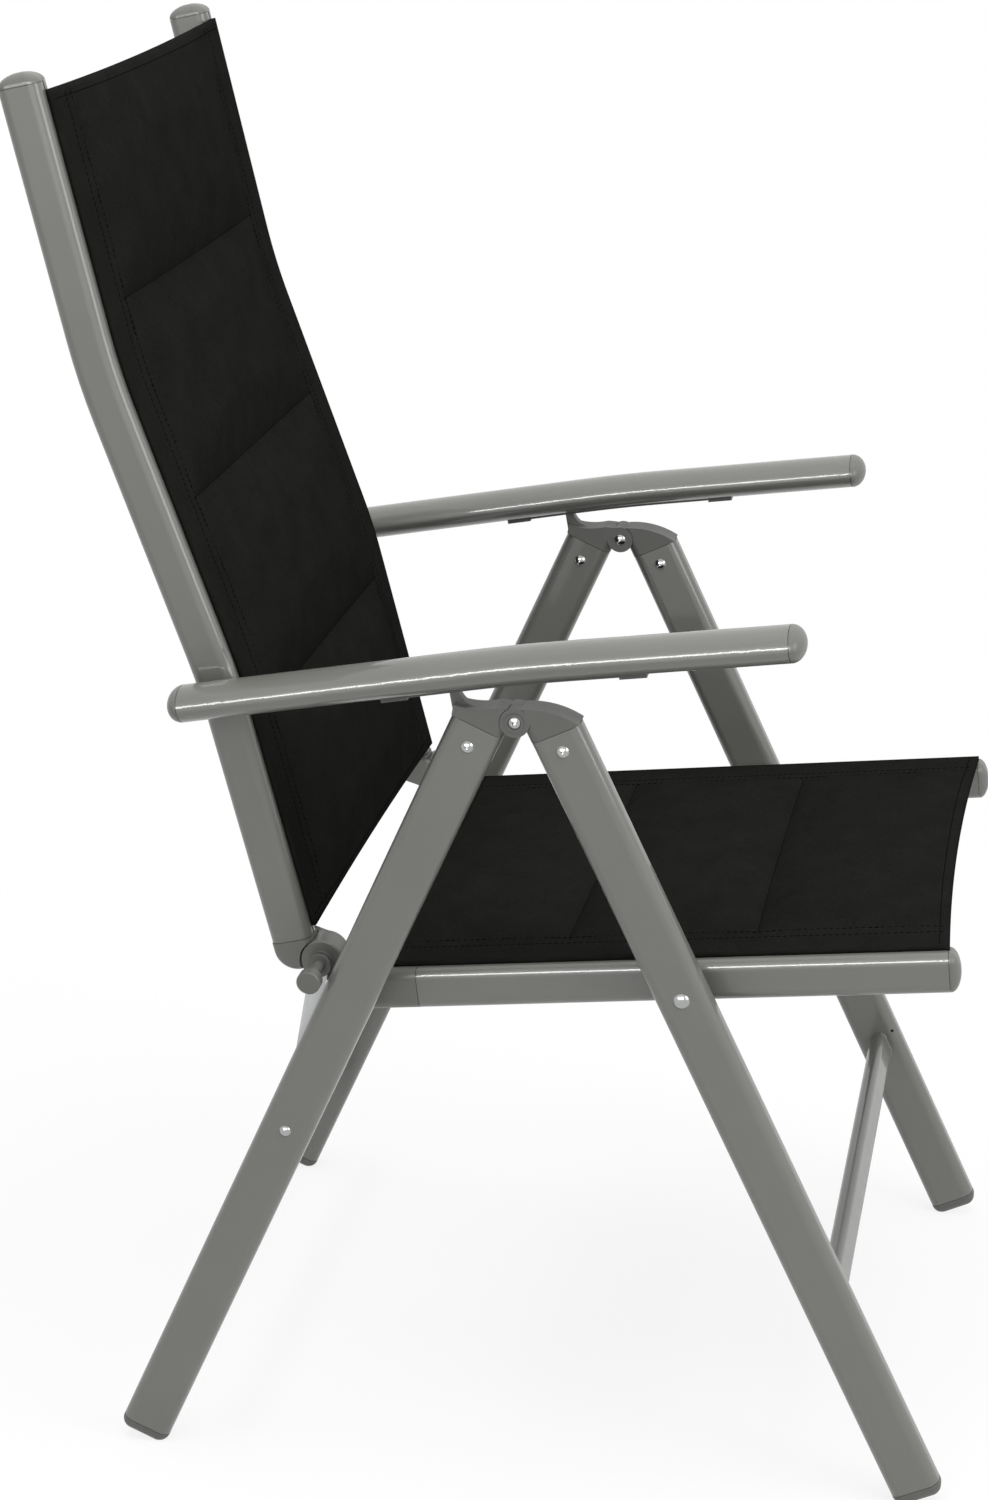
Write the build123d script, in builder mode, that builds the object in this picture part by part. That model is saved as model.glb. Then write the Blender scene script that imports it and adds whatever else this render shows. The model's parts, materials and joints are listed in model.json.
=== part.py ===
"""High-back folding garden armchair: oval aluminium tubes, plastic hinges and padded slings."""

import math
import os
from functools import partial

from build123d import *

os.makedirs("parts", exist_ok=True)

SIDES = (("left", 1), ("right", -1))
FRONT = 1
REAR = -1

# Clearances and fits
RUN_FIT = 0.06
SEAT_FIT = 0.15
PLUG_FIT = 0.2
BODY_GAP = 0.4
SOFT_GAP = 0.5
SEAM_GAP = 0.4
PRESS = 1.0

# Leg pair: two oval tubes that meet in a plastic hinge under the armrest
HINGE_X = 20.1
HINGE_Z = 626.5
LEG_SPLAY = 24.8
LEG_GAP = 23.4
LEG_WIDTH = 40.0
LEG_THICK = 22.0
LEG_WALL = 1.6
LEG_CORNER = 8.5
LEG_Y = 248.0
FRONT_LEG_TOP = 19.5
REAR_LEG_TOP = 16.0
LEG_END = 686.0
LEG_RIVET_DOWN = 33.0

# Foot caps
FOOT_DOME = 11.0
FOOT_ROUND = 9.0
PLUG_LEN = 26.0

# Leg hinge halves
HINGE_PLUG = 36.0
HINGE_EDGE = 8.0
BOSS_RISE = 0.8
BOSS_RING_R = 6.9
BOSS_RING_BORE = 5.2
BOSS_R = 11.0
BOSS_SHOULDER = (8.0, 7.6)
FRONT_BROW = (28.5, -3.3)
REAR_HEEL = (45.4, -8.0)
REAR_DIP = (31.0, -4.4)
REAR_RISE = (17.0, 4.0)
NOSE_OFF = 51.0
NOSE_UP = 1.2
NOSE_R = 3.5
HORN_THICK = 8.0
HORN_ROOT = (33.0, -12.0)
HORN_WAIST = (43.2, -2.2)
PIVOT_R = 3.0
PIVOT_HEAD_R = 4.6
PIVOT_HEAD_T = 1.8
PIVOT_HOLE_R = 1.6
PIVOT_HOLE_DEEP = 4.0
RIVET_R = 2.4
RIVET_HEAD_R = 4.75
RIVET_HEAD_T = 2.4
RIVET_HOLE_R = 1.2
RIVET_HOLE_DEEP = 2.6

# Where the seat, the links and the hip hinge sit on the legs
SEAT_PIVOT_DOWN = 242.3
LINK_PIVOT_DOWN = 384.9
HIP_BEHIND = 31.5
HIP_DOWN = 257.8

# Seat and back tubes
TUBE_Y = 212.0
TUBE_HIGH = 32.0
TUBE_WIDE = 24.0
TUBE_WALL = 1.6
TUBE_CORNER = 8.0
SLOT_WIDE = 2.4
SLOT_DEEP = 6.4
KEDER_R = 2.6
KEDER_TONGUE = 1.5
CAP_PLUG = 14.0

# Seat
SEAT_SLOPE = 5.6
SEAT_FRONT = 195.0
SEAT_REAR = -208.0
SEAT_CAP = 8.5
SEAT_BAR_FRONT = 158.0
SEAT_BAR_REAR = -176.0
BAR_WIDE = 22.0
BAR_THICK = 14.0
BAR_WALL = 1.4
BAR_CORNER = 5.5

# Hip hinge
DRUM_R = 16.5
DRUM_SET_IN = 0.5
DRUM_EDGE = 1.0
CRANK_TOP = 19.0
CRANK_LOW = -60.0
CRANK_KNEE = 39.0
CRANK_CORNER = 5.0
PIN_R = 4.75
PIN_HEAD_R = 9.2
PIN_HEAD_OUT = 267.0
PIN_HEAD_T = 9.0
PIN_EDGE = 1.2
PIN_TAIL_R = 7.0
PIN_TAIL_T = 2.4
PIN_COLLAR_R = 9.1
PIN_FLANGE_R = 9.1
PIN_FLANGE_T = 2.0
EYE_R = 11.5
EYE_THICK = 7.0

# Link bars
LINK_WIDE = 14.0
LINK_IN = 227.0
LINK_OUT = 231.0
LINK_SHOULDER_R = 6.5
LINK_HEAD_R = 6.5
LINK_HEAD_T = 1.8
LINK_RIVET_R = 4.0
LINK_RIVET_HEAD_R = 4.6

# Seat pivot
SEAT_BOLT_R = 4.0
SEAT_BOLT_HEAD_R = 6.2
SEAT_BOLT_HEAD_T = 3.0
SEAT_BUSH_R = 9.0
SEAT_NUT_R = 5.5
SEAT_NUT_FLANGE_R = 8.0
SEAT_NUT_FLANGE_T = 1.4
SEAT_NUT_TAIL_T = 2.5

# Backrest
BACK_LEAN = 13.56
BACK_BEHIND = 19.8
BACK_SEAM = 20.0
BACK_LOW = 227.8
BACK_MID = 238.6
BACK_TOP = 207.8
BACK_MID_LEAN = 19.1
BACK_TOP_LEAN = 12.3
BACK_BEND_R = 500.0
BACK_CAP = 9.0
CLAW_UP = 12.5
CLAW_ROUND = 17.5
CLAW_EDGE = 6.0
HEEL_TURN = 225.0
BACK_BAR_LOW = 78.0
BACK_BAR_TOP = 40.0

# Armrests
ARM_PIVOT_UP = 223.7
ARM_WIDE = 44.0
ARM_HIGH = 26.0
ARM_WALL = 2.0
ARM_BEND_AT = 233.5
ARM_BEND = 2.7
ARM_BEND_R = 1500.0
ARM_FRONT = 198.3
ARM_REAR = -18.5
ARM_CAP = 11.5
ARM_PLUG = 8.0
GROOVE_DEEP = 2.1
ARM_BOLT_R = 4.0
ARM_BOLT_HEAD_R = 7.0
ARM_BOLT_HEAD_T = 3.5
ARM_BUSH_R = 7.0
ARM_BUSH_REACH = 12.0
ARM_CLIP_R = 6.4
ARM_CLIP_T = 2.6

# Notch rails under the armrests
RAIL_BACK = 54.0
RAIL_AHEAD = 143.0
RAIL_WIDE = 17.0
RAIL_FLANGE = 22.0
RAIL_FLANGE_LOW = 8.9
RAIL_LOW = 13.4
RAIL_TOOTH_LOW = 6.9
RAIL_TOP = 1.4
RAIL_GROOVE = 10.0
RAIL_TOOTH = 4.0
RAIL_NOTCHES = 7
RAIL_PITCH = 18.0
RAIL_NOTCH_LONG = 9.0
LUG_LONG = 20.0
LUG_DROP = 2.0

# Crossbars between the legs
CROSS_WIDE = 24.0
CROSS_THICK = 14.0
CROSS_WALL = 1.5
CROSS_CORNER = 5.5
CROSS_FRONT_DOWN = 519.0
CROSS_REAR_DOWN = 574.0
VENT_R = 1.3
VENT_DOWN = 509.3
VENT_OFF = 38.7

# Padded slings
SLING_THIN = 2.6
SLING_EDGE = 213.5
SLING_HEM = 194.0
SLING_CROWN = 7.0
SLING_BELLY = 5.0
SLING_SEAM = 0.5
SLING_DRAW = 4.0
SEAT_PANELS = (147.0, 147.0, 147.0)
BACK_PANELS = (163.8, 167.3, 153.9, 155.6)
SEAT_SLING_REAR = -245.0
BACK_SLING_LOW = 26.0
BACK_SLING_TOP = 6.0

# Heights and widths of the sections that make a domed end, as shares of the whole
DOME_STEPS = tuple((h, math.sqrt(1 - h**2)) for h in (0.0, 0.4, 0.7, 0.9, 0.98))

SIN = math.sin(math.radians(LEG_SPLAY))
COS = math.cos(math.radians(LEG_SPLAY))


def unit(angle):
    return math.cos(math.radians(angle)), math.sin(math.radians(angle))


def shift(point, angle, ahead, up):
    """Moves a side-view point by a way ahead and a way up, in a frame turned by the angle."""
    c, s = unit(angle)
    return point[0] + c * ahead - s * up, point[1] + s * ahead + c * up


def local(point, origin, angle):
    """Gives a side-view point in a frame with its own origin and turn."""
    c, s = unit(angle)
    dx = point[0] - origin[0]
    dz = point[1] - origin[1]
    return c * dx + s * dz, c * dz - s * dx


def leg_point(end, off, up):
    return HINGE_X + end * (COS * off - SIN * up), HINGE_Z + SIN * off + COS * up


def frame_plane(point, angle, y):
    """Side-view plane at a distance from the middle: sketch x runs ahead, sketch y runs up."""
    c, s = unit(angle)
    return Plane(origin=(point[0], y, point[1]), x_dir=(c, 0, s), z_dir=(0, -1, 0))


def leg_plane(end, y):
    """Side-view plane of a leg: sketch x runs away from the other leg, sketch y up the leg."""
    return Plane(origin=(HINGE_X, y, HINGE_Z), x_dir=(end * COS, 0, SIN), z_dir=(0, -end, 0))


def leg_section(end, y, down):
    """Plane across a leg, facing down it."""
    x, z = leg_point(end, LEG_GAP, -down)
    return Plane(origin=(x, y, z), x_dir=(end * COS, 0, SIN), z_dir=(end * SIN, 0, -COS))


def tube_section(point, angle, y):
    """Plane across a tube that runs ahead at the angle, with sketch x up."""
    c, s = unit(angle)
    return Plane(origin=(point[0], y, point[1]), x_dir=(-s, 0, c), z_dir=(c, 0, s))


def cross_plane(point, y, sign):
    """Plane facing outwards on one side of the chair, on an axis that runs across it."""
    return Plane(origin=(point[0], sign * y, point[1]), x_dir=(1, 0, 0), z_dir=(0, sign, 0))


# Side-view places that the pieces share
PIVOT = (HINGE_X, HINGE_Z)
SEAT_PIVOT = leg_point(FRONT, LEG_GAP, -SEAT_PIVOT_DOWN)
LINK_PIVOT = leg_point(REAR, LEG_GAP, -LINK_PIVOT_DOWN)
HIP = leg_point(REAR, LEG_GAP + HIP_BEHIND, -HIP_DOWN)
NOSE = leg_point(REAR, NOSE_OFF, NOSE_UP)
ARM_PIVOT = shift(HIP, BACK_LEAN, -BACK_BEHIND, ARM_PIVOT_UP)
NOSE_REACH = math.dist(ARM_PIVOT, NOSE)
NOSE_RISE = math.degrees(math.atan2(NOSE[1] - ARM_PIVOT[1], NOSE[0] - ARM_PIVOT[0]))
NOSE_DROP = ARM_HIGH / 2 - GROOVE_DEEP
ARM_SLOPE = NOSE_RISE + math.degrees(math.asin(NOSE_DROP / NOSE_REACH))
NOSE_AHEAD = math.sqrt(NOSE_REACH**2 - NOSE_DROP**2)
LEG_IN = LEG_Y - LEG_THICK / 2
LEG_OUT = LEG_Y + LEG_THICK / 2
TUBE_IN = TUBE_Y - TUBE_WIDE / 2
TUBE_OUT = TUBE_Y + TUBE_WIDE / 2
DRUM_IN = TUBE_IN + DRUM_SET_IN
DRUM_OUT = TUBE_OUT - DRUM_SET_IN
ARM_IN = LEG_Y - ARM_WIDE / 2
HALF = TUBE_HIGH / 2
LEG_TOP = {FRONT: FRONT_LEG_TOP, REAR: REAR_LEG_TOP}
SEAM_NEAR = LEG_GAP - LEG_WIDTH / 2
SEAM_FAR = LEG_GAP + LEG_WIDTH / 2
HIP_IN_SEAT = local(HIP, SEAT_PIVOT, SEAT_SLOPE)

# Back tube line, in the frame of the hip hinge with its lean
BACK_START = (-BACK_BEHIND, BACK_SEAM)
BEND_LOW = (-BACK_BEHIND, BACK_LOW)
BEND_HIGH = shift(BEND_LOW, BACK_MID_LEAN - BACK_LEAN, 0, BACK_MID)
BACK_END = shift(BEND_HIGH, BACK_TOP_LEAN - BACK_LEAN, 0, BACK_TOP)

# Armrest line, in the frame of its rear pivot with its slope
ARM_KINK = (ARM_BEND_AT, 0)


def save(part, name):
    part.label = name
    export_step(part, "parts/" + name + ".step")


def tube_face(high, wide, wall, corner):
    """Flat-sided oval tube section, long axis along sketch x."""
    RectangleRounded(high, wide, corner)
    RectangleRounded(high - 2 * wall, wide - 2 * wall, corner - wall, mode=Mode.SUBTRACT)


def keder_tube_face():
    """Oval tube with the slot that holds the edge of a sling, on the side of sketch x."""
    tube_face(TUBE_HIGH, TUBE_WIDE, TUBE_WALL, TUBE_CORNER)
    with Locations((HALF, 0)):
        Rectangle(SLOT_DEEP, SLOT_WIDE, mode=Mode.SUBTRACT)


def keder_face():
    """Round cord in the tube and the tongue of cloth that leaves through the slot."""
    centre = HALF - TUBE_WALL - SEAT_FIT - KEDER_R
    with Locations((centre, 0)):
        Circle(KEDER_R)
    with Locations(((centre + HALF + SEAT_FIT) / 2, 0)):
        Rectangle(HALF + SEAT_FIT - centre, KEDER_TONGUE)


def plug_face(high, wide, wall, corner, mode=Mode.ADD):
    """Section of a plug that fits in a tube."""
    skin = wall + PLUG_FIT
    RectangleRounded(high - 2 * skin, wide - 2 * skin, corner - skin, mode=mode)


def dome_mid(radius, tall):
    """Point half way along the arc of a dome."""
    ball = (radius**2 + tall**2) / (2 * tall)
    half = math.asin(min(1.0, radius / ball)) / 2
    return ball * math.sin(half), tall - ball + ball * math.cos(half)


def turn_plane(point, sign):
    """Plane through an axis across the chair: sketch x is the radius, sketch y runs outwards."""
    return Plane(origin=(point[0], 0, point[1]), x_dir=(1, 0, 0), z_dir=(0, 0, sign))


def spin(profile, point):
    revolve(profile.sketch, axis=Axis((point[0], 0, point[1]), (0, 1, 0)))


def oval(high, wide, corner, share):
    """Flat-sided oval, shrunk to a share of its size."""
    RectangleRounded(high * share, wide * share, corner * share)


def ellipse(high, wide, share):
    Ellipse(high / 2 * share, wide / 2 * share)


def dome(plane, tall, outline):
    """Domed end on a plane, through shrinking sections of one outline."""
    sections = []
    for height, share in DOME_STEPS:
        with BuildSketch(plane.offset(height * tall)) as section:
            outline(share)
        sections.append(section.sketch)
    loft(sections)


def rivet(point, sign, inner, outer, radius, head, tail):
    """Round shank between two domed heads, each given as a radius and a height."""
    head_mid = dome_mid(*head)
    tail_mid = dome_mid(*tail)
    with BuildSketch(turn_plane(point, sign)) as profile:
        with BuildLine():
            ThreePointArc((0, outer + head[1]), (head_mid[0], outer + head_mid[1]),
                          (head[0], outer))
            Polyline((head[0], outer), (radius, outer), (radius, inner), (tail[0], inner))
            ThreePointArc((tail[0], inner), (tail_mid[0], inner - tail_mid[1]),
                          (0, inner - tail[1]))
            Line((0, inner - tail[1]), (0, outer + head[1]))
        make_face()
    spin(profile, point)


def drill(point, sign, outer, radius, deep):
    """Blind hole in the outer end of a rivet."""
    with BuildSketch(cross_plane(point, outer, sign)) as hole:
        Circle(radius)
    extrude(hole.sketch, amount=-deep, mode=Mode.SUBTRACT)


def turned(point, sign, steps):
    """Turned piece on an axis across the chair, from radii at distances from the middle."""
    with BuildSketch(turn_plane(point, sign)) as profile:
        with BuildLine():
            Polyline((0, steps[0][1]), *steps, (0, steps[-1][1]), close=True)
        make_face()
    spin(profile, point)


def ring(point, sign, inner, outer, radius, bore):
    with BuildSketch(cross_plane(point, inner, sign)) as washer:
        Circle(radius)
        Circle(bore, mode=Mode.SUBTRACT)
    extrude(washer.sketch, amount=outer - inner)


def bore_through(point, radius):
    """Round hole right across the chair."""
    with BuildSketch(cross_plane(point, 0, 1)) as hole:
        Circle(radius)
    extrude(hole.sketch, amount=2 * LEG_Y, both=True, mode=Mode.SUBTRACT)


# Leg tubes and foot caps
for side, sign in SIDES:
    for end, place in ((FRONT, "front"), (REAR, "rear")):
        with BuildPart() as leg:
            with BuildSketch(leg_section(end, sign * LEG_Y, LEG_TOP[end])):
                tube_face(LEG_WIDTH, LEG_THICK, LEG_WALL, LEG_CORNER)
            extrude(amount=LEG_END - LEG_TOP[end])
            bore_through(leg_point(end, LEG_GAP, -LEG_RIVET_DOWN), RIVET_R + SEAT_FIT)
            if end == FRONT:
                bore_through(SEAT_PIVOT, SEAT_BOLT_R + SEAT_FIT)
                # Vent hole in the inner wall, for the welding of the crossbar
                with BuildSketch(cross_plane(leg_point(end, VENT_OFF, -VENT_DOWN), LEG_IN, sign)):
                    Circle(VENT_R)
                extrude(amount=LEG_THICK / 2, mode=Mode.SUBTRACT)
            else:
                bore_through(LINK_PIVOT, LINK_RIVET_R + SEAT_FIT)
        save(leg.part, f"{place}_leg_{side}")

        # A plug in the tube and a dome that is flat where it meets the floor
        with BuildPart() as foot:
            with BuildSketch(leg_section(end, sign * LEG_Y, LEG_END + SEAM_GAP)):
                RectangleRounded(LEG_WIDTH, LEG_THICK, LEG_CORNER)
            extrude(amount=FOOT_DOME - SEAM_GAP)
            down_leg = Axis((0, 0, 0), (end * SIN, 0, -COS))
            fillet(foot.faces().sort_by(down_leg)[-1].edges(), FOOT_ROUND)
            with BuildSketch(leg_section(end, sign * LEG_Y, LEG_END - PLUG_LEN)):
                plug_face(LEG_WIDTH, LEG_THICK, LEG_WALL, LEG_CORNER)
            extrude(amount=PLUG_LEN + PRESS)
            split(bisect_by=Plane.XY, keep=Keep.TOP)
        save(foot.part, f"{place}_foot_{side}")


def front_outline():
    Polyline((SEAM_NEAR, 0), (SEAM_NEAR, -FRONT_LEG_TOP), (SEAM_FAR, -FRONT_LEG_TOP))
    ThreePointArc((SEAM_FAR, -FRONT_LEG_TOP), FRONT_BROW, BOSS_SHOULDER)
    Line(BOSS_SHOULDER, (SEAM_NEAR, 0))


def rear_outline():
    Polyline((SEAM_NEAR, 0), (SEAM_NEAR, -REAR_LEG_TOP), (SEAM_FAR, -REAR_LEG_TOP), REAR_HEEL)
    ThreePointArc(REAR_HEEL, REAR_DIP, REAR_RISE)
    Polyline(REAR_RISE, BOSS_SHOULDER, (SEAM_NEAR, 0))


def horn_outline():
    """Horn that rises from the rear half into the groove of the armrest."""
    root = (SEAM_FAR, -REAR_LEG_TOP)
    rise = math.dist(root, (NOSE_OFF, NOSE_UP))
    ahead = ((NOSE_OFF - root[0]) / rise * NOSE_R, (NOSE_UP - root[1]) / rise * NOSE_R)
    outer = (NOSE_OFF + ahead[1], NOSE_UP - ahead[0])
    inner = (NOSE_OFF - ahead[1], NOSE_UP + ahead[0])
    Line(root, outer)
    ThreePointArc(outer, (NOSE_OFF + ahead[0], NOSE_UP + ahead[1]), inner)
    ThreePointArc(inner, HORN_WAIST, REAR_DIP)
    Polyline(REAR_DIP, HORN_ROOT, root)


def leg_hinge(end, sign, outline, lap):
    """Plastic half of the leg hinge: a plug in the tube, a body and a lapped boss on the pivot."""
    with BuildPart() as half:
        with BuildSketch(leg_plane(end, sign * LEG_Y)):
            with BuildLine():
                outline()
            make_face()
        extrude(amount=LEG_THICK / 2, both=True)
        rim = half.edges().filter_by(Plane.XZ)
        fillet(rim - rim.filter_by(Axis((0, 0, 0), (end * COS, 0, SIN))), HINGE_EDGE)
        face = LEG_Y + lap * BODY_GAP / 2
        with BuildSketch(cross_plane(PIVOT, face, sign)):
            Circle(BOSS_R + BODY_GAP)
        extrude(amount=-lap * LEG_THICK, mode=Mode.SUBTRACT)
        with BuildSketch(cross_plane(PIVOT, face, sign)):
            Circle(BOSS_R)
        extrude(amount=lap * (LEG_THICK - BODY_GAP) / 2)
        if end == FRONT:
            with BuildSketch(cross_plane(PIVOT, LEG_OUT, sign)):
                Circle(BOSS_RING_R)
                Circle(BOSS_RING_BORE, mode=Mode.SUBTRACT)
            extrude(amount=BOSS_RISE)
        if end == REAR:
            with BuildSketch(leg_plane(end, sign * LEG_Y)):
                with BuildLine():
                    horn_outline()
                make_face()
            extrude(amount=HORN_THICK / 2, both=True)
        with BuildSketch(leg_section(end, sign * LEG_Y, LEG_TOP[end])):
            plug_face(LEG_WIDTH, LEG_THICK, LEG_WALL, LEG_CORNER)
        extrude(amount=HINGE_PLUG)
        # Seam between the plastic and the end of the tube
        with BuildSketch(leg_section(end, sign * LEG_Y, LEG_TOP[end] - SEAM_GAP)):
            Rectangle(LEG_WIDTH + 2 * LEG_THICK, 2 * LEG_THICK)
            plug_face(LEG_WIDTH, LEG_THICK, LEG_WALL, LEG_CORNER, mode=Mode.SUBTRACT)
        extrude(amount=SEAM_GAP, mode=Mode.SUBTRACT)
        bore_through(PIVOT, PIVOT_R + RUN_FIT)
        bore_through(leg_point(end, LEG_GAP, -LEG_RIVET_DOWN), RIVET_R + SEAT_FIT)
    return half.part


for side, sign in SIDES:
    save(leg_hinge(FRONT, sign, front_outline, 1), f"front_hinge_{side}")
    save(leg_hinge(REAR, sign, rear_outline, -1), f"rear_hinge_{side}")

# Rivets and pivots of the legs
RIVET_HEAD = (RIVET_HEAD_R, RIVET_HEAD_T)
PIVOT_HEAD = (PIVOT_HEAD_R, PIVOT_HEAD_T)
for end, place in ((FRONT, "front"), (REAR, "rear")):
    with BuildPart() as rivets:
        for side, sign in SIDES:
            spot = leg_point(end, LEG_GAP, -LEG_RIVET_DOWN)
            rivet(spot, sign, LEG_IN, LEG_OUT, RIVET_R, RIVET_HEAD, RIVET_HEAD)
            drill(spot, sign, LEG_OUT + RIVET_HEAD_T, RIVET_HOLE_R, RIVET_HOLE_DEEP)
    save(rivets.part, f"{place}_leg_rivets")

with BuildPart() as hinge_pivots:
    for side, sign in SIDES:
        rivet(PIVOT, sign, LEG_IN - BODY_GAP, LEG_OUT, PIVOT_R, PIVOT_HEAD, PIVOT_HEAD)
        drill(PIVOT, sign, LEG_OUT + PIVOT_HEAD_T, PIVOT_HOLE_R, PIVOT_HOLE_DEEP)
save(hinge_pivots.part, "hinge_pivots")

# Crossbars between the legs
for end, place, down in ((FRONT, "front", CROSS_FRONT_DOWN), (REAR, "rear", CROSS_REAR_DOWN)):
    with BuildPart() as crossbar:
        x, z = leg_point(end, LEG_GAP, -down)
        with BuildSketch(Plane(origin=(x, 0, z), x_dir=(end * SIN, 0, -COS), z_dir=(0, 1, 0))):
            tube_face(CROSS_WIDE, CROSS_THICK, CROSS_WALL, CROSS_CORNER)
        extrude(amount=LEG_IN, both=True)
    save(crossbar.part, f"{place}_crossbar")

# Link bars and their shouldered rivets
LINK_LEN = math.dist(LINK_PIVOT, HIP)
LINK_ANGLE = math.degrees(math.atan2(HIP[1] - LINK_PIVOT[1], HIP[0] - LINK_PIVOT[0]))
for side, sign in SIDES:
    with BuildPart() as link:
        with BuildSketch(frame_plane(LINK_PIVOT, LINK_ANGLE, sign * (LINK_IN + LINK_OUT) / 2)):
            with Locations((LINK_LEN / 2, 0)):
                SlotCenterToCenter(LINK_LEN, LINK_WIDE)
            Circle(LINK_RIVET_R + RUN_FIT, mode=Mode.SUBTRACT)
            with Locations((LINK_LEN, 0)):
                Circle(PIN_R + RUN_FIT, mode=Mode.SUBTRACT)
        extrude(amount=(LINK_OUT - LINK_IN) / 2, both=True)
    save(link.part, f"link_{side}")

with BuildPart() as link_rivets:
    for side, sign in SIDES:
        rivet(LINK_PIVOT, sign, LINK_IN - BODY_GAP, LEG_OUT, LINK_RIVET_R,
              (LINK_RIVET_HEAD_R, RIVET_HEAD_T), (LINK_HEAD_R, LINK_HEAD_T))
        ring(LINK_PIVOT, sign, LINK_OUT + BODY_GAP, LEG_IN, LINK_SHOULDER_R, RIVET_R)
save(link_rivets.part, "link_rivets")

# Seat pivots: the bolt and the bush stay with the front leg, the nut with the seat tube
NUT_FACE = TUBE_OUT + SEAT_NUT_FLANGE_T
BUSH_FACE = NUT_FACE + BODY_GAP
with BuildPart() as seat_bolts:
    for side, sign in SIDES:
        rivet(SEAT_PIVOT, sign, BUSH_FACE + BODY_GAP, LEG_OUT, SEAT_BOLT_R,
              (SEAT_BOLT_HEAD_R, SEAT_BOLT_HEAD_T), (SEAT_BOLT_R - BODY_GAP, BODY_GAP))
save(seat_bolts.part, "seat_bolts")

with BuildPart() as seat_bushes:
    for side, sign in SIDES:
        ring(SEAT_PIVOT, sign, BUSH_FACE, LEG_IN, SEAT_BUSH_R, SEAT_BOLT_R + SEAT_FIT)
save(seat_bushes.part, "seat_bushes")

with BuildPart() as seat_nuts:
    for side, sign in SIDES:
        tail = TUBE_IN - SEAT_NUT_TAIL_T
        turned(SEAT_PIVOT, sign, [(SEAT_BOLT_R, tail), (SEAT_NUT_R, tail + RIVET_R),
                                  (SEAT_NUT_R, TUBE_OUT), (SEAT_NUT_FLANGE_R, TUBE_OUT),
                                  (SEAT_NUT_FLANGE_R, NUT_FACE)])
save(seat_nuts.part, "seat_nuts")

# Seat tubes, their front caps, their edge cords and the cranked hinge ends
for side, sign in SIDES:
    y = sign * TUBE_Y
    start = shift(SEAT_PIVOT, SEAT_SLOPE, SEAT_REAR, 0)
    front = shift(SEAT_PIVOT, SEAT_SLOPE, SEAT_FRONT, 0)
    with BuildPart() as seat_tube:
        with BuildSketch(tube_section(start, SEAT_SLOPE, y)):
            keder_tube_face()
        extrude(amount=SEAT_FRONT - SEAT_REAR)
        bore_through(SEAT_PIVOT, SEAT_NUT_R + SEAT_FIT)
    save(seat_tube.part, f"seat_tube_{side}")

    with BuildPart() as seat_cord:
        cord_start = shift(SEAT_PIVOT, SEAT_SLOPE, SEAT_REAR + CAP_PLUG + BODY_GAP, 0)
        with BuildSketch(tube_section(cord_start, SEAT_SLOPE, y)):
            keder_face()
        extrude(amount=SEAT_FRONT - SEAT_REAR - 2 * CAP_PLUG - 2 * BODY_GAP)
    save(seat_cord.part, f"seat_cord_{side}")

    with BuildPart() as seat_cap:
        brim = tube_section(front, SEAT_SLOPE, y).offset(SEAM_GAP)
        dome(brim, SEAT_CAP - SEAM_GAP, partial(oval, TUBE_HIGH, TUBE_WIDE, TUBE_CORNER))
        with BuildSketch(brim.offset(PRESS)):
            plug_face(TUBE_HIGH, TUBE_WIDE, TUBE_WALL, TUBE_CORNER)
        extrude(amount=-CAP_PLUG - SEAM_GAP - PRESS)
    save(seat_cap.part, f"seat_cap_{side}")

    with BuildPart() as crank:
        # A stub like the tube, an arm that narrows to the drum, and the drum on the hip pin
        knee_at = shift(SEAT_PIVOT, SEAT_SLOPE, SEAT_REAR - CRANK_KNEE, 0)
        knee = tube_section(knee_at, SEAT_SLOPE, y)
        with BuildSketch(knee) as stub:
            RectangleRounded(TUBE_HIGH, TUBE_WIDE, TUBE_CORNER)
        extrude(stub.sketch, amount=CRANK_KNEE - SEAM_GAP)
        wedge = math.radians(CRANK_TOP - CRANK_LOW) / 2
        root_high = 2 * DRUM_R * math.sin(wedge) - PRESS
        aim = SEAT_SLOPE + (CRANK_TOP + CRANK_LOW) / 2
        root_at = shift(HIP, aim, DRUM_R * math.cos(wedge), 0)
        with BuildSketch(tube_section(root_at, aim, y)) as root:
            RectangleRounded(root_high, TUBE_WIDE - 2 * PRESS, CRANK_CORNER)
        loft([stub.sketch, root.sketch])
        turned(HIP, sign, [(DRUM_R - DRUM_EDGE, DRUM_IN), (DRUM_R, DRUM_IN + DRUM_EDGE),
                           (DRUM_R, DRUM_OUT - DRUM_EDGE), (DRUM_R - DRUM_EDGE, DRUM_OUT)])
        with BuildSketch(tube_section(start, SEAT_SLOPE, y).offset(-SEAM_GAP - PRESS)) as plug:
            plug_face(TUBE_HIGH, TUBE_WIDE, TUBE_WALL, TUBE_CORNER)
        extrude(plug.sketch, amount=CAP_PLUG + SEAM_GAP + PRESS)
        bore_through(HIP, PIN_R + RUN_FIT)
    save(crank.part, f"seat_hinge_{side}")

# Bars that hold the seat tubes apart
for place, ahead in (("front", SEAT_BAR_FRONT), ("rear", SEAT_BAR_REAR)):
    with BuildPart() as bar:
        spot = shift(SEAT_PIVOT, SEAT_SLOPE, ahead, 0)
        c, s = unit(SEAT_SLOPE)
        with BuildSketch(Plane(origin=(spot[0], 0, spot[1]), x_dir=(c, 0, s), z_dir=(0, 1, 0))):
            tube_face(BAR_WIDE, BAR_THICK, BAR_WALL, BAR_CORNER)
        extrude(amount=TUBE_IN, both=True)
    save(bar.part, f"seat_bar_{place}")

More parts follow.
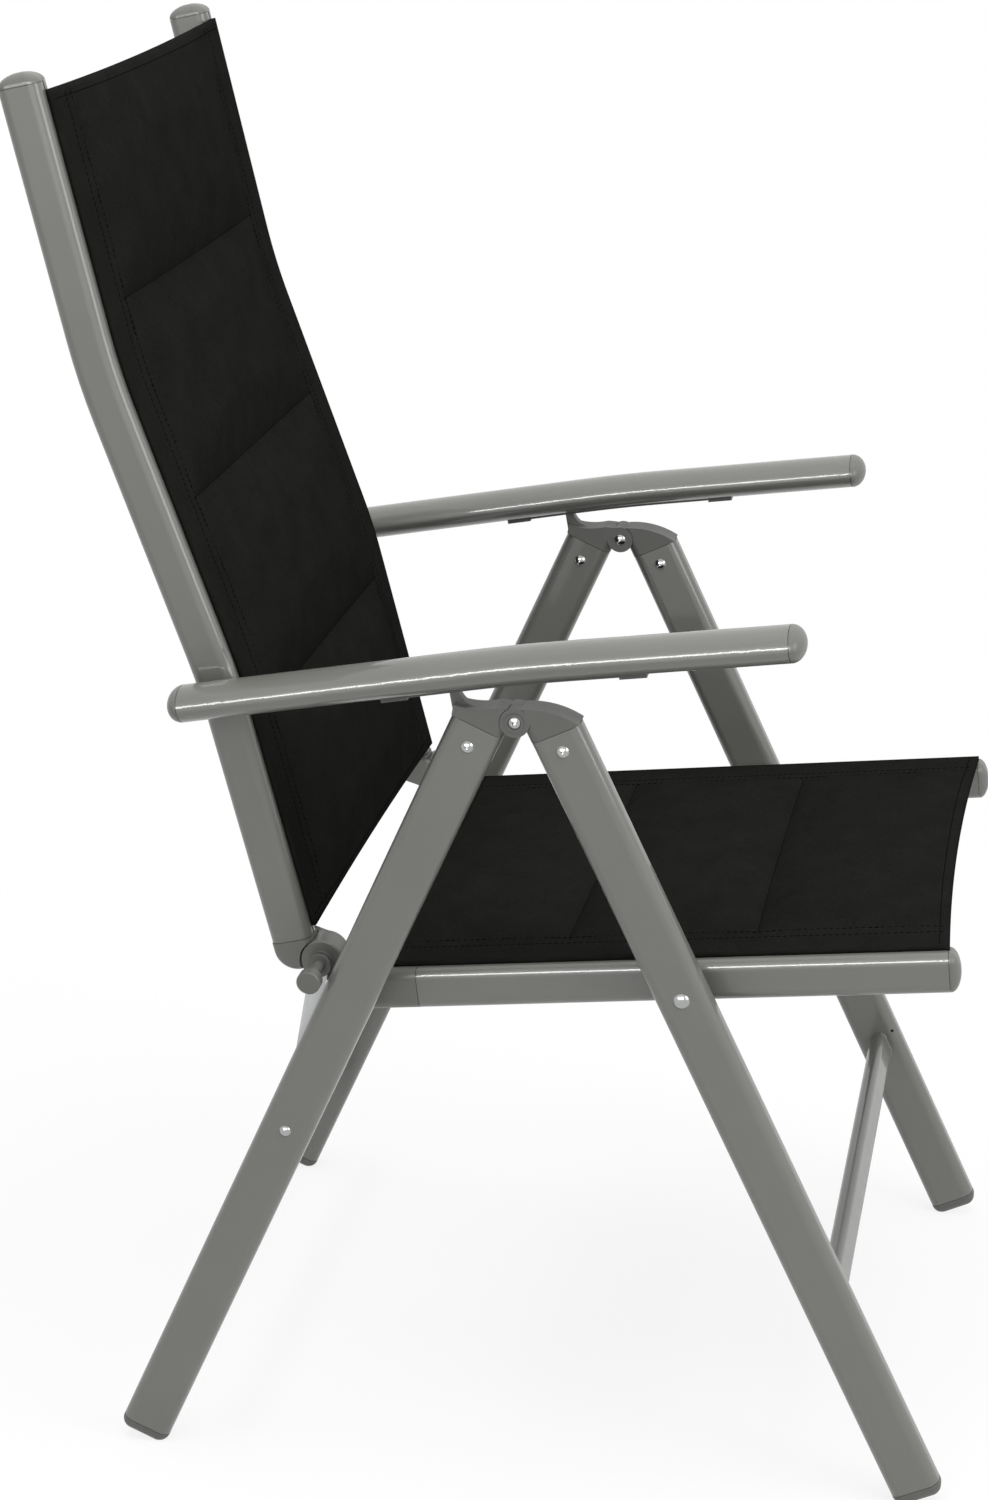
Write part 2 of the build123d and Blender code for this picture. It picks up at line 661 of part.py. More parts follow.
# Hip pins, with the stop head that rests behind the rear leg
EYE_OUT = TUBE_IN - BODY_GAP
EYE_IN = EYE_OUT - EYE_THICK
TAIL_OUT = EYE_IN - BODY_GAP
FLANGE_IN = LINK_OUT + BODY_GAP
PIN_HEAD_IN = PIN_HEAD_OUT - PIN_HEAD_T
for side, sign in SIDES:
    with BuildPart() as hip_pin:
        turned(HIP, sign, [(PIN_TAIL_R, TAIL_OUT - PIN_TAIL_T), (PIN_TAIL_R, TAIL_OUT),
                           (PIN_R, TAIL_OUT), (PIN_R, PIN_HEAD_IN),
                           (PIN_HEAD_R, PIN_HEAD_IN), (PIN_HEAD_R, PIN_HEAD_OUT - PIN_EDGE),
                           (PIN_HEAD_R - PIN_EDGE, PIN_HEAD_OUT)])
        # Collars on both sides of the link bar
        bore = PIN_R - PRESS
        ring(HIP, sign, DRUM_OUT + BODY_GAP, LINK_IN - BODY_GAP, PIN_COLLAR_R, bore)
        ring(HIP, sign, FLANGE_IN, FLANGE_IN + PIN_FLANGE_T, PIN_FLANGE_R, bore)
    save(hip_pin.part, f"hip_pin_{side}")


def back_line(y):
    """Centre line of a back tube, from the knuckle to the top."""
    with BuildLine(frame_plane(HIP, BACK_LEAN, y)) as path:
        FilletPolyline(BACK_START, BEND_LOW, BEND_HIGH, BACK_END, radius=BACK_BEND_R)
    return path.wire()


def across(path, at):
    """Plane across a line in side view, facing along it, with sketch x on its front side."""
    ahead = path % at
    return Plane(origin=path @ at, x_dir=(ahead.Z, 0, -ahead.X), z_dir=ahead)


def claw_outline():
    behind = -BACK_BEHIND - HALF
    ahead = HALF - BACK_BEHIND
    heel = (behind + CLAW_ROUND, CLAW_UP)
    low = CLAW_UP - CLAW_ROUND
    top = BACK_SEAM - SEAM_GAP
    Polyline((ahead, top), (behind, top), (behind, CLAW_UP))
    ThreePointArc((behind, CLAW_UP), shift(heel, HEEL_TURN, CLAW_ROUND, 0), (heel[0], low))
    Polyline((heel[0], low), (ahead, low), (ahead, top))


for side, sign in SIDES:
    y = sign * TUBE_Y
    path = back_line(y)
    with BuildPart() as back_tube:
        with BuildSketch(across(path, 0)):
            keder_tube_face()
        sweep(path=path)
        bore_through(ARM_PIVOT, ARM_BOLT_R + RUN_FIT)
    save(back_tube.part, f"back_tube_{side}")

    with BuildPart() as back_cap:
        brim = across(path, 1).offset(SEAM_GAP)
        dome(brim, BACK_CAP - SEAM_GAP, partial(oval, TUBE_HIGH, TUBE_WIDE, TUBE_CORNER))
        with BuildSketch(brim.offset(PRESS)):
            plug_face(TUBE_HIGH, TUBE_WIDE, TUBE_WALL, TUBE_CORNER)
        extrude(amount=-CAP_PLUG - SEAM_GAP - PRESS)
    save(back_cap.part, f"back_cap_{side}")

    # The edge cord stops short of the plugs at both ends of the tube
    with BuildPart() as back_cord:
        cut = (CAP_PLUG + BODY_GAP) / path.length
        cord_path = path.trim(cut, 1 - cut)
        with BuildSketch(across(cord_path, 0)):
            keder_face()
        sweep(path=cord_path)
    save(back_cord.part, f"back_cord_{side}")

    # Knuckle: a claw round the drum of the seat hinge and an eye on the hip pin
    with BuildPart() as knuckle:
        with BuildSketch(frame_plane(HIP, BACK_LEAN, sign * EYE_OUT)) as claw:
            with BuildLine():
                claw_outline()
            make_face()
        extrude(claw.sketch, amount=-sign * (TUBE_OUT - EYE_OUT))
        c, s = unit(BACK_LEAN)
        up_back = Axis((0, 0, 0), (-s, 0, c))
        rim = knuckle.edges().filter_by(Plane.XZ)
        fillet(rim.filter_by(up_back) + rim.filter_by(GeomType.CIRCLE), CLAW_EDGE)
        with BuildSketch(frame_plane(HIP, BACK_LEAN, sign * EYE_OUT)) as socket:
            Circle(DRUM_R + 2 * BODY_GAP)
        extrude(socket.sketch, amount=-sign * TUBE_HIGH, mode=Mode.SUBTRACT)
        with BuildSketch(frame_plane(HIP, BACK_LEAN, sign * EYE_IN)) as eye:
            with Locations((0, 0), (-BACK_BEHIND, CLAW_UP)):
                Circle(EYE_R)
            make_hull()
        extrude(eye.sketch, amount=-sign * EYE_THICK)
        with BuildSketch(across(path, 0)) as stub:
            plug_face(TUBE_HIGH, TUBE_WIDE, TUBE_WALL, TUBE_CORNER)
        extrude(stub.sketch, amount=CAP_PLUG)
        extrude(stub.sketch, amount=-SEAM_GAP - PRESS)
        bore_through(HIP, PIN_R + RUN_FIT)
    save(knuckle.part, f"back_knuckle_{side}")

# Bars that hold the back tubes apart
middle = back_line(0)
for place, along in (("low", BACK_BAR_LOW), ("top", middle.length - BACK_BAR_TOP)):
    with BuildPart() as bar:
        spot = middle @ (along / middle.length)
        ahead = middle % (along / middle.length)
        with BuildSketch(Plane(origin=spot, x_dir=ahead, z_dir=(0, 1, 0))):
            tube_face(BAR_WIDE, BAR_THICK, BAR_WALL, BAR_CORNER)
        extrude(amount=TUBE_IN, both=True)
    save(bar.part, f"back_bar_{place}")


def arm_line(y, start, stop):
    """Centre line of an armrest between two distances ahead of its rear pivot."""
    end = shift(ARM_KINK, -ARM_BEND, stop - ARM_BEND_AT, 0)
    with BuildLine(frame_plane(ARM_PIVOT, ARM_SLOPE, y)) as path:
        FilletPolyline((start, 0), ARM_KINK, end, radius=ARM_BEND_R)
    return path.wire()


def above(path, at):
    """Plane across an armrest line, facing along it, with sketch x up."""
    ahead = path % at
    return Plane(origin=path @ at, x_dir=(-ahead.Z, 0, ahead.X), z_dir=ahead)


def band(low, top, wide, mode=Mode.ADD):
    """Rectangle below the armrest line, between two distances down from it."""
    with Locations((-(low + top) / 2, 0)):
        Rectangle(low - top, wide, mode=mode)


RAIL_START = NOSE_AHEAD - RAIL_BACK
RAIL_STOP = NOSE_AHEAD + RAIL_AHEAD
ARM_STOP = ARM_BEND_AT + ARM_FRONT
for side, sign in SIDES:
    y = sign * LEG_Y
    path = arm_line(y, ARM_REAR, ARM_STOP)
    rail_path = arm_line(y, RAIL_START, RAIL_STOP)
    with BuildPart() as armrest:
        with BuildSketch(above(path, 0)):
            Ellipse(ARM_HIGH / 2, ARM_WIDE / 2)
            Ellipse(ARM_HIGH / 2 - ARM_WALL, ARM_WIDE / 2 - ARM_WALL, mode=Mode.SUBTRACT)
        sweep(path=path)
        slot_path = arm_line(y, RAIL_START - SEAT_FIT, RAIL_STOP + SEAT_FIT)
        with BuildSketch(above(slot_path, 0)):
            band(ARM_HIGH, RAIL_TOOTH_LOW, RAIL_WIDE + 2 * SEAT_FIT)
        sweep(path=slot_path, mode=Mode.SUBTRACT)
        with BuildSketch(cross_plane(ARM_PIVOT, TUBE_OUT, sign)):
            Circle(ARM_BUSH_R + RUN_FIT)
        extrude(amount=ARM_WIDE / 2, mode=Mode.SUBTRACT)
    save(armrest.part, f"armrest_{side}")

    for place, at, way in (("front", 1, 1), ("rear", 0, -1)):
        with BuildPart() as arm_cap:
            end = above(path, at)
            mouth = Plane(origin=end.origin, x_dir=end.x_dir, z_dir=end.z_dir * way)
            brim = mouth.offset(SEAM_GAP)
            dome(brim, ARM_CAP - SEAM_GAP, partial(ellipse, ARM_HIGH, ARM_WIDE))
            skin = ARM_WALL + PLUG_FIT
            with BuildSketch(brim.offset(PRESS)):
                Ellipse(ARM_HIGH / 2 - skin, ARM_WIDE / 2 - skin)
            extrude(amount=-ARM_PLUG - SEAM_GAP - PRESS)
        save(arm_cap.part, f"arm_cap_{place}_{side}")

    # Rail under the armrest: the horn of the leg hinge runs in its groove and stops in a notch
    with BuildPart() as rail:
        with BuildSketch(above(rail_path, 0)):
            band(RAIL_FLANGE_LOW, RAIL_TOP, RAIL_FLANGE)
            band(RAIL_LOW, RAIL_FLANGE_LOW, RAIL_WIDE)
            band(ARM_HIGH, RAIL_TOOTH_LOW, RAIL_GROOVE, mode=Mode.SUBTRACT)
        sweep(path=rail_path)
        for at, way in ((0, 1), (1, -1)):
            with BuildSketch(above(rail_path, at)):
                band(ARM_HIGH / 2 + LUG_DROP, RAIL_TOOTH_LOW, RAIL_WIDE)
            extrude(amount=way * LUG_LONG)
        for notch in range(RAIL_NOTCHES):
            at = (RAIL_BACK + notch * RAIL_PITCH) / rail_path.length
            with BuildSketch(above(rail_path, at)):
                band(RAIL_TOOTH_LOW + BODY_GAP, RAIL_TOOTH_LOW - RAIL_TOOTH, RAIL_GROOVE)
            extrude(amount=RAIL_NOTCH_LONG / 2, both=True, mode=Mode.SUBTRACT)
    save(rail.part, f"notch_rail_{side}")

    with BuildPart() as arm_bush:
        bush_in = TUBE_OUT + BODY_GAP
        ring(ARM_PIVOT, sign, bush_in, ARM_IN + ARM_BUSH_REACH, ARM_BUSH_R, ARM_BOLT_R + RUN_FIT)
    save(arm_bush.part, f"arm_bush_{side}")

    with BuildPart() as arm_bolt:
        clip = ARM_IN + ARM_BUSH_REACH + BODY_GAP
        head = TUBE_IN - BODY_GAP
        turned(ARM_PIVOT, sign, [(ARM_BOLT_HEAD_R, head - ARM_BOLT_HEAD_T), (ARM_BOLT_HEAD_R, head),
                                 (ARM_BOLT_R, head), (ARM_BOLT_R, clip),
                                 (ARM_CLIP_R, clip), (ARM_CLIP_R, clip + ARM_CLIP_T)])
    save(arm_bolt.part, f"arm_bolt_{side}")


def pad_face(crown, belly):
    """Section across a padded sling: flat hems on the tubes and a pad that swells both ways."""
    top = SLING_THIN
    Polyline((-SLING_HEM, 0), (-SLING_EDGE, 0), (-SLING_EDGE, top), (-SLING_HEM, top))
    ThreePointArc((-SLING_HEM, top), (0, top + crown), (SLING_HEM, top))
    Polyline((SLING_HEM, top), (SLING_EDGE, top), (SLING_EDGE, 0), (SLING_HEM, 0))
    ThreePointArc((SLING_HEM, 0), (0, -belly), (-SLING_HEM, 0))


def pad_plane(spot, ahead, face):
    """Plane across a sling: sketch x runs across the chair, sketch y to the side that is sat on."""
    return Plane(origin=spot, x_dir=(0, 1, 0), z_dir=ahead * face)


def sling(line, face, panels):
    """Padded cloth quilted in panels along a line in side view."""
    with BuildPart() as cloth:
        done = 0.0
        for panel in panels:
            sections = []
            for step, crown, belly in ((0, SLING_SEAM, SLING_SEAM), (0.5, SLING_CROWN, SLING_BELLY),
                                       (1, SLING_SEAM, SLING_SEAM)):
                at = (done + step * panel) / sum(panels)
                with BuildSketch(pad_plane(line @ at, line % at, face)) as section:
                    with BuildLine():
                        pad_face(crown, belly)
                    make_face()
                sections.append(section.sketch)
            loft(sections)
            done += panel
        # Both ends draw in towards the middle
        for at, way in ((0, 1), (1, -1)):
            level = ((line % at) * way).cross(Vector(0, 1, 0))
            with BuildSketch(Plane(origin=line @ at, x_dir=(0, 1, 0), z_dir=level)) as bow:
                with BuildLine():
                    ThreePointArc((-SLING_EDGE, 0), (0, SLING_DRAW), (SLING_EDGE, 0))
                    Line((SLING_EDGE, 0), (-SLING_EDGE, 0))
                make_face()
            extrude(bow.sketch, amount=TUBE_HIGH, both=True, mode=Mode.SUBTRACT)
    return cloth.part


with BuildLine(frame_plane(SEAT_PIVOT, SEAT_SLOPE, 0)) as seat_line:
    rise = HALF + SOFT_GAP
    Line((SEAT_SLING_REAR, rise), (SEAT_SLING_REAR + sum(SEAT_PANELS), rise))
save(sling(seat_line.wire(), 1, SEAT_PANELS), "seat_sling")

with BuildLine(frame_plane(HIP, BACK_LEAN, 0)) as back_front:
    rise = HALF + 2 * SOFT_GAP
    FilletPolyline((rise - BACK_BEHIND, BACK_SLING_LOW),
                   shift(BEND_LOW, BACK_MID_LEAN - BACK_LEAN, rise, 0),
                   shift(BEND_HIGH, BACK_TOP_LEAN - BACK_LEAN, rise, 0),
                   shift(BACK_END, BACK_TOP_LEAN - BACK_LEAN, rise, -BACK_SLING_TOP),
                   radius=BACK_BEND_R)
save(sling(back_front.wire(), -1, BACK_PANELS), "back_sling")
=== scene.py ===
"""Looks of the folding garden armchair: powder-coated tubes, moulded plastic and quilted slings."""

import json
import math

import bmesh
import bpy
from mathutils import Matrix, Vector


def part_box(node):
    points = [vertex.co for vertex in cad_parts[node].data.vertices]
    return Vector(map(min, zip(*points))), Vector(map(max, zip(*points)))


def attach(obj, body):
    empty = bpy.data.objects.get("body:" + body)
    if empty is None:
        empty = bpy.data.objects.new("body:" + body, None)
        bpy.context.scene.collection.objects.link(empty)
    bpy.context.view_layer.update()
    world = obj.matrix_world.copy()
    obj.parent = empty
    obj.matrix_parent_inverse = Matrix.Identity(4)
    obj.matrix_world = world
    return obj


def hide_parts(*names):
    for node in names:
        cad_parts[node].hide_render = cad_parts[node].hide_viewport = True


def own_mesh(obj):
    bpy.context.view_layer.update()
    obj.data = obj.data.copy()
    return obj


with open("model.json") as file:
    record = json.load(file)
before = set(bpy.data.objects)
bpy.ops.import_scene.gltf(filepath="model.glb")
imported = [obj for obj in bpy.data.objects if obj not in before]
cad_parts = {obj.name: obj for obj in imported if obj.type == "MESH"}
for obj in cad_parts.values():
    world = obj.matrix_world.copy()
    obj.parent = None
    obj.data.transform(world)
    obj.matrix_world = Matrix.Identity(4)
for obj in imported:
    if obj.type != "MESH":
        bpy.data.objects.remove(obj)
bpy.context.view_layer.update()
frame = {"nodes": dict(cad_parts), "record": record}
nodes = frame["nodes"]

MM = 0.001

# Hip hinge, seat pivot and the slings' lines, as in the part's source, in millimetres
HIP = Vector((-137.87, 0, 415.50))
SEAT_PIVOT = Vector((142.98, 0, 416.36))
BACK_LEAN = 13.56
BACK_MID_LEAN = 19.1
BACK_TOP_LEAN = 12.3
BACK_BEND_R = 500.0
BACK_BEHIND = 19.8
BACK_LOW = 227.8
BACK_MID = 238.6
BACK_TOP = 207.8
BACK_SLING_LOW = 26.0
BACK_SLING_TOP = 6.0
BACK_PANELS = (163.8, 167.3, 153.9, 155.6)
BACK_RISE = 17.0
SEAT_SLOPE = 5.6
SEAT_SLING_REAR = -245.0
SEAT_PANELS = (147.0, 147.0, 147.0)
SEAT_RISE = 16.5

# Padded cloth
EDGE = 213.5
HEM = 178.0
HEM_ROWS = (185.0, 174.5)
END_ROW = 7.5
THIN = 2.6
CROWN = 8.0
BELLY = 5.0
PANEL_POWER = 4.5
SIDE_POWER = 6
SEAM = 0.5
CREASE = 1.3
ON_SEAM = 0.1
BACK_DRAW = 3.0
SEAT_DRAW = 6.0
CELL = 4.5
STITCH_LONG = 3.2
STITCH_STEP = 4.4
STITCH_R = 0.42
STITCH_SIDES = 6
SEW_INSET = 4.0
SEW_RUN = 40.0
PUFF_FRAMES = 14
PUFF_MOST = 3.0

# Welds
WELD_R = 1.7
WELD_STEP = 0.6
WELD_COIN = 2.4
WELD_SIDES = 8
CROSS_SIZE = (24.0, 14.0, 5.5)
BAR_SIZE = (22.0, 14.0, 5.5)
LEG_SPLAY = 24.8

# Studio, in metres
FLOOR_HALF = 12.0
FLOOR_WHITE = 0.93
SHADOW_SHARE = 0.16
SHADOW_NEAR = 0.5
SHADOW_FAR = 1.6
FILL_LIGHT = 0.5

# Camera, in pixels of the photo
FRAME_WIDE = 988
FRAME_HIGH = 1500
FOCAL = 3189.0
CENTRE_X = 609.7
CENTRE_Y = 903.6
SENSOR = 36.0


# Materials


def principled(name, **values):
    """New material with a Principled shader whose plain values are set on its own sockets."""
    material = bpy.data.materials.new(name)
    material.use_nodes = True
    shader = material.node_tree.nodes["Principled BSDF"]
    for socket, value in values.items():
        shader.inputs[socket.replace("_", " ")].default_value = value
    return material, material.node_tree, shader


def node(tree, kind, **values):
    """Adds a shader node. Names of its own settings and of its sockets are both taken."""
    made = tree.nodes.new(kind)
    for key, value in values.items():
        if hasattr(made, key):
            setattr(made, key, value)
        else:
            made.inputs[key.replace("_", " ")].default_value = value
    return made


def noise(tree, scale, detail=2.0, vector=None):
    made = node(tree, "ShaderNodeTexNoise", Scale=scale, Detail=detail)
    vector = vector or node(tree, "ShaderNodeTexCoord").outputs["Object"]
    tree.links.new(vector, made.inputs["Vector"])
    return made.outputs["Fac"]


def spread(tree, factor, low, high):
    """Turns a factor from 0 to 1 into a value, or a colour, from low to high."""
    if isinstance(low, tuple):
        made = node(tree, "ShaderNodeMix", data_type="RGBA")
        tree.links.new(factor, made.inputs["Factor"])
        made.inputs[6].default_value = (*low, 1)
        made.inputs[7].default_value = (*high, 1)
        return made.outputs[2]
    made = node(tree, "ShaderNodeMapRange", To_Min=low, To_Max=high)
    tree.links.new(factor, made.inputs["Value"])
    return made.outputs["Result"]


def bump(tree, shader, height, strength, distance):
    made = node(tree, "ShaderNodeBump", Strength=strength, Distance=distance)
    tree.links.new(height, made.inputs["Height"])
    tree.links.new(made.outputs["Normal"], shader.inputs["Normal"])


def shade(colour, factor):
    return tuple(c * factor for c in colour)


def coated(name, colour):
    """Satin powder coat: clouds, fine flake, uneven gloss and orange peel under a clear skin."""
    material, tree, shader = principled(name, Coat_Weight=0.7, Coat_Roughness=0.05)
    cloud = noise(tree, 14.0, 3.0)
    flake = noise(tree, 2600.0)
    both = node(tree, "ShaderNodeMath", operation="MULTIPLY_ADD")
    tree.links.new(flake, both.inputs[0])
    both.inputs[1].default_value = 0.35
    tree.links.new(cloud, both.inputs[2])
    tone = spread(tree, both.outputs["Value"], shade(colour, 0.9), shade(colour, 1.05))
    tree.links.new(tone, shader.inputs["Base Color"])
    tree.links.new(spread(tree, noise(tree, 60.0), 0.4, 0.52), shader.inputs["Roughness"])
    bump(tree, shader, noise(tree, 1500.0), 0.06, 0.0002)
    return material


def moulded(name, colour, gloss):
    """Moulded plastic: a spark-eroded grain and slightly uneven gloss."""
    material, tree, shader = principled(name)
    cloud = noise(tree, 40.0, 3.0)
    tone = spread(tree, cloud, shade(colour, 0.9), shade(colour, 1.1))
    tree.links.new(tone, shader.inputs["Base Color"])
    rough = spread(tree, noise(tree, 120.0), gloss - 0.05, gloss + 0.07)
    tree.links.new(rough, shader.inputs["Roughness"])
    bump(tree, shader, noise(tree, 1400.0, 4.0), 0.2, 0.0003)
    return material


def plated(name, colour, gloss, grain):
    """Bare or plated metal, with scratches drawn out along one direction."""
    material, tree, shader = principled(name, Metallic=1.0)
    stretch = node(tree, "ShaderNodeMapping", Scale=grain)
    tree.links.new(node(tree, "ShaderNodeTexCoord").outputs["Object"], stretch.inputs["Vector"])
    lines = noise(tree, 300.0, 4.0, stretch.outputs["Vector"])
    tone = spread(tree, lines, shade(colour, 0.88), shade(colour, 1.05))
    tree.links.new(tone, shader.inputs["Base Color"])
    tree.links.new(spread(tree, lines, gloss - 0.08, gloss + 0.1), shader.inputs["Roughness"])
    bump(tree, shader, lines, 0.1, 0.0002)
    return material


def slubs(tree, cloth, scale):
    """Thick and thin places of the yarn, drawn out along one direction of the cloth."""
    stretch = node(tree, "ShaderNodeMapping", Scale=scale)
    tree.links.new(cloth, stretch.inputs["Vector"])
    return noise(tree, 1.0, 3.0, stretch.outputs["Vector"])


def woven(name, colour):
    """Coated yarn in a basket weave: the weave comes from the cloth's own lengths and widths."""
    material, tree, shader = principled(name)
    shader.inputs["Specular IOR Level"].default_value = 0.0
    cloth = node(tree, "ShaderNodeUVMap").outputs["UV"]
    turned = []
    for direction in ("X", "Y"):
        wave = node(tree, "ShaderNodeTexWave", bands_direction=direction)
        wave.inputs["Scale"].default_value = 0.32
        wave.inputs["Distortion"].default_value = 0.3
        wave.inputs["Detail Scale"].default_value = 1.0
        tree.links.new(cloth, wave.inputs["Vector"])
        turned.append(wave.outputs["Fac"])
    check = node(tree, "ShaderNodeTexChecker", Scale=2.0)
    tree.links.new(cloth, check.inputs["Vector"])
    yarn = node(tree, "ShaderNodeMix")
    tree.links.new(check.outputs["Fac"], yarn.inputs["Factor"])
    tree.links.new(turned[0], yarn.inputs["A"])
    tree.links.new(turned[1], yarn.inputs["B"])
    height = yarn.outputs["Result"]
    for scale in ((0.7, 0.15, 1.0), (0.15, 0.7, 1.0), (0.03, 0.03, 1.0)):
        more = node(tree, "ShaderNodeMath", operation="MULTIPLY_ADD")
        tree.links.new(slubs(tree, cloth, scale), more.inputs[0])
        more.inputs[1].default_value = 0.9
        tree.links.new(height, more.inputs[2])
        height = more.outputs["Value"]
    tone = node(tree, "ShaderNodeMapRange", From_Min=0.6, From_Max=2.6, To_Min=0.0, To_Max=1.0)
    tree.links.new(height, tone.inputs["Value"])
    colours = spread(tree, tone.outputs["Result"], shade(colour, 0.4), shade(colour, 1.6))
    tree.links.new(colours, shader.inputs["Base Color"])
    tree.links.new(spread(tree, tone.outputs["Result"], 0.75, 0.62), shader.inputs["Roughness"])
    bump(tree, shader, height, 0.3, 0.0003)
    return material


GREY = (0.128, 0.129, 0.117)
COATED = coated("coated_tube", GREY)
CAP = moulded("cap_plastic", (0.132, 0.133, 0.122), 0.36)
HINGE = moulded("hinge_plastic", (0.105, 0.106, 0.097), 0.4)
STUB = moulded("seat_hinge_plastic", (0.125, 0.126, 0.115), 0.4)
FOOT = moulded("foot_plastic", (0.098, 0.099, 0.091), 0.48)
RAIL = moulded("rail_plastic", (0.055, 0.055, 0.051), 0.42)
ZINC = plated("zinc_steel", (0.40, 0.41, 0.40), 0.2, (1.0, 1.0, 1.0))
ALU = plated("bare_aluminium", (0.50, 0.51, 0.51), 0.38, (1.0, 1.0, 0.05))
CLOTH = woven("sling_cloth", (0.0105, 0.0105, 0.0099))
CORD = moulded("edge_cord", (0.012, 0.012, 0.012), 0.55)
# Stitch thread: near-black of its own, and darker than the cloth as painted shade, so that the
# stitched seams and hems read as dark creases
THREAD_WITH_CREASE_SHADE = woven("thread", (0.0032, 0.0032, 0.0030))

LOOKS = {
    "coated_tube": COATED,
    "hinge_plastic": HINGE,
    "foot_plastic": FOOT,
    "rail_plastic": RAIL,
    "zinc_steel": ZINC,
    "bare_aluminium": ALU,
    "sling_cloth": CLOTH,
    "edge_cord": CORD,
}
for subpart in frame["record"]["subparts"]:
    mesh = nodes[subpart["node"]].data
    mesh.materials.clear()
    look = LOOKS[subpart["material_slot"]]
    if "cap" in subpart["node"] or "knuckle" in subpart["node"]:
        look = CAP
    if "seat_hinge" in subpart["node"]:
        look = STUB
    mesh.materials.append(look)


# Slings


def bent_line(corners, radius, step):
    """Points and headings along a line in side view, with its corners rounded to a radius."""
    heads = [math.atan2(b.z - a.z, b.x - a.x) for a, b in zip(corners, corners[1:])]
    runs = [(b - a).length for a, b in zip(corners, corners[1:])]
    turns = [b - a for a, b in zip(heads, heads[1:])]
    cuts = [0.0, *(radius * math.tan(abs(t) / 2) for t in turns), 0.0]
    pieces = []
    for i, run in enumerate(runs):
        pieces.append((run - cuts[i] - cuts[i + 1], heads[i], 0.0))
        if i < len(turns):
            pieces.append((radius * abs(turns[i]), heads[i], turns[i]))
    total = sum(length for length, head, turn in pieces)
    count = round(total / step)
    points, headings = [corners[0].copy()], []
    for i in range(count + 1):
        along = total * i / count
        for length, head, turn in pieces:
            if along <= length or (length, head, turn) == pieces[-1]:
                headings.append(head + turn * min(1.0, along / length))
                break
            along -= length
        if i < count:
            way = Vector((math.cos(headings[-1]), 0, math.sin(headings[-1])))
            points.append(points[-1] + way * (total / count))
    return points, headings, total


def in_frame(origin, angle, ahead, up):
    c, s = math.cos(math.radians(angle)), math.sin(math.radians(angle))
    return origin + Vector((c * ahead - s * up, 0, s * ahead + c * up))


def back_corners():
    """Line of the back sling's rear face, in front of the back tubes."""
    low = in_frame(HIP, BACK_LEAN, -BACK_BEHIND, BACK_LOW)
    high = in_frame(low, BACK_MID_LEAN, 0, BACK_MID)
    top = in_frame(high, BACK_TOP_LEAN, 0, BACK_TOP)
    return [
        in_frame(HIP, BACK_LEAN, BACK_RISE - BACK_BEHIND, BACK_SLING_LOW),
        in_frame(low, BACK_MID_LEAN, BACK_RISE, 0),
        in_frame(high, BACK_TOP_LEAN, BACK_RISE, 0),
        in_frame(top, BACK_TOP_LEAN, BACK_RISE, -BACK_SLING_TOP),
    ]


def seat_corners():
    """Line of the seat sling's under face, on top of the seat tubes."""
    return [
        in_frame(SEAT_PIVOT, SEAT_SLOPE, SEAT_SLING_REAR, SEAT_RISE),
        in_frame(SEAT_PIVOT, SEAT_SLOPE, SEAT_SLING_REAR + sum(SEAT_PANELS), SEAT_RISE),
    ]


class Pad:
    """A sling as a surface: a place along it, a place across it and a height give a point."""

    def __init__(self, corners, face, panels, draw):
        self.points, self.headings, self.length = bent_line(corners, BACK_BEND_R, 1.0)
        self.face = face
        self.draw = draw
        self.seams = [0.0]
        for panel in panels:
            self.seams.append(self.seams[-1] + panel * self.length / sum(panels))

    def place(self, along, across, height):
        """Both ends draw in towards the middle of the chair."""
        half = self.length / 2
        drawn = self.draw * (1 - (across / EDGE) ** 2) / half
        along = half + (along - half) * (1 - drawn)
        at = min(max(along / self.length, 0.0), 1.0) * (len(self.points) - 1)
        i = min(int(at), len(self.points) - 2)
        spot = self.points[i].lerp(self.points[i + 1], at - i)
        head = self.headings[i] + self.face * math.pi / 2
        out = Vector((math.cos(head), 0, math.sin(head)))
        return (spot + Vector((0, across, 0)) + out * height) * MM

    def swell(self, along, across):
        """How far the filling lifts the cloth, from 0 on a seam or hem to 1."""
        if abs(across) >= HEM:
            return 0.0
        panel = max(i for i, s in enumerate(self.seams[:-1]) if along >= s - 1e-6)
        start, stop = self.seams[panel : panel + 2]
        t = min(max((along - start) / (stop - start), 0.0), 1.0)
        return (1 - abs(2 * t - 1) ** PANEL_POWER) * (1 - (abs(across) / HEM) ** SIDE_POWER)

    def pulled(self, along, across):
        """How far the thread of a quilting seam pulls the cloth in."""
        on_seam = min(abs(along - s) for s in self.seams[1:-1]) < ON_SEAM
        return CREASE if on_seam and abs(across) < HEM else 0.0

    def top(self, along, across):
        return THIN + SEAM + CROWN * self.swell(along, across) - self.pulled(along, across)

    def under(self, along, across):
        return -SEAM - BELLY * self.swell(along, across) + self.pulled(along, across) / 2

    def sewn(self, along, across):
        """True on the hems and on the quilting seams, which the filling doesn't lift."""
        on_end = min(along, self.length - along) < END_ROW + 2.0
        on_hem = abs(across) > HEM_ROWS[-1] - 1.0
        return on_end or on_hem or min(abs(along - s) for s in self.seams) < ON_SEAM


def steps(marks, cell):
    """Even steps of about a cell between each two marks, with the marks kept."""
    out = [marks[0]]
    for a, b in zip(marks, marks[1:]):
        count = max(1, round((b - a) / cell))
        out += [a + (b - a) * i / count for i in range(1, count + 1)]
    return out


def link(name, mesh, material):
    piece = bpy.data.objects.new(name, mesh)
    bpy.context.scene.collection.objects.link(piece)
    mesh.materials.append(material)
    return piece


